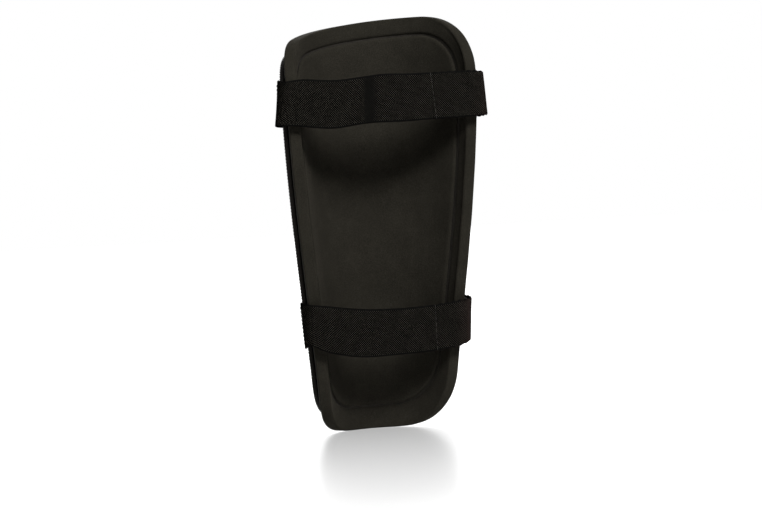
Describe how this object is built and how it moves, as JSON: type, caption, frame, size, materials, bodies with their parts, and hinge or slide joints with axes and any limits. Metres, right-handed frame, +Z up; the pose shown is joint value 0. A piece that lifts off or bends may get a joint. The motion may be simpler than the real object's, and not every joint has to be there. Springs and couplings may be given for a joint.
{
  "type": "shin guard",
  "caption": "Shin guard with a ribbed hard shell, foam backing, raised centre pad and elastic hook-and-loop straps round the calf.",
  "frame": {"origin": "middle of the flat of the ankle edge that the guard stands on, at the middle of the foam backing", "axes": "+Z up from the ankle edge to the knee edge, +Y out through the shell, leg side towards -Y"},
  "size_m": [0.1448, 0.0729, 0.27],
  "materials": {
    "shell": "moulded polypropylene, satin",
    "foam": "closed-cell foam, matt",
    "lining": "brushed polyester knit",
    "elastic": "woven elastic webbing",
    "hook": "nylon hook tape",
    "loop": "nylon loop tape, fuzzy",
    "thread": "bonded polyester thread"
  },
  "bodies": {
    "guard": {"hard_shell": "shell", "foam_backing": "foam", "backing_lining": "lining", "shin_pad": "foam", "pad_cover": "lining", "upper_strap_anchor": "elastic", "upper_anchor_seam": "thread", "upper_loop_patch": "loop", "lower_strap_anchor": "elastic", "lower_anchor_seam": "thread", "lower_loop_patch": "loop"},
    "upper_strap": {"upper_strap_band": "elastic", "upper_hook_front": "hook", "upper_band_seam": "thread"},
    "upper_tab": {"upper_strap_tab": "elastic", "upper_hook_patch": "hook", "upper_tab_seam": "thread"},
    "lower_strap": {"lower_strap_band": "elastic", "lower_hook_front": "hook", "lower_band_seam": "thread"},
    "lower_tab": {"lower_strap_tab": "elastic", "lower_hook_patch": "hook", "lower_tab_seam": "thread"}
  },
  "joints": [
    {"name": "upper_strap_swing", "type": "hinge", "parent": "guard", "child": "upper_strap", "pos_m": [-0.06861, -0.05473, 0.216], "axis": [0, 0.0721, -0.9974], "range_deg": [0, 70]},
    {"name": "upper_tab_peel", "type": "hinge", "parent": "upper_strap", "child": "upper_tab", "pos_m": [0.07163, -0.05473, 0.216], "axis": [0, 0.0721, -0.9974], "range_deg": [0, 112]},
    {"name": "lower_strap_swing", "type": "hinge", "parent": "guard", "child": "lower_strap", "pos_m": [-0.05609, -0.04429, 0.0715], "axis": [0, 0.0721, -0.9974], "range_deg": [0, 70]},
    {"name": "lower_tab_peel", "type": "hinge", "parent": "lower_strap", "child": "lower_tab", "pos_m": [0.05911, -0.04429, 0.0715], "axis": [0, 0.0721, -0.9974], "range_deg": [0, 112]}
  ],
  "couplings": [
    {"joint": "upper_tab_peel", "follows": "upper_strap_swing", "ratio": 1.6},
    {"joint": "lower_tab_peel", "follows": "lower_strap_swing", "ratio": 1.6}
  ]
}
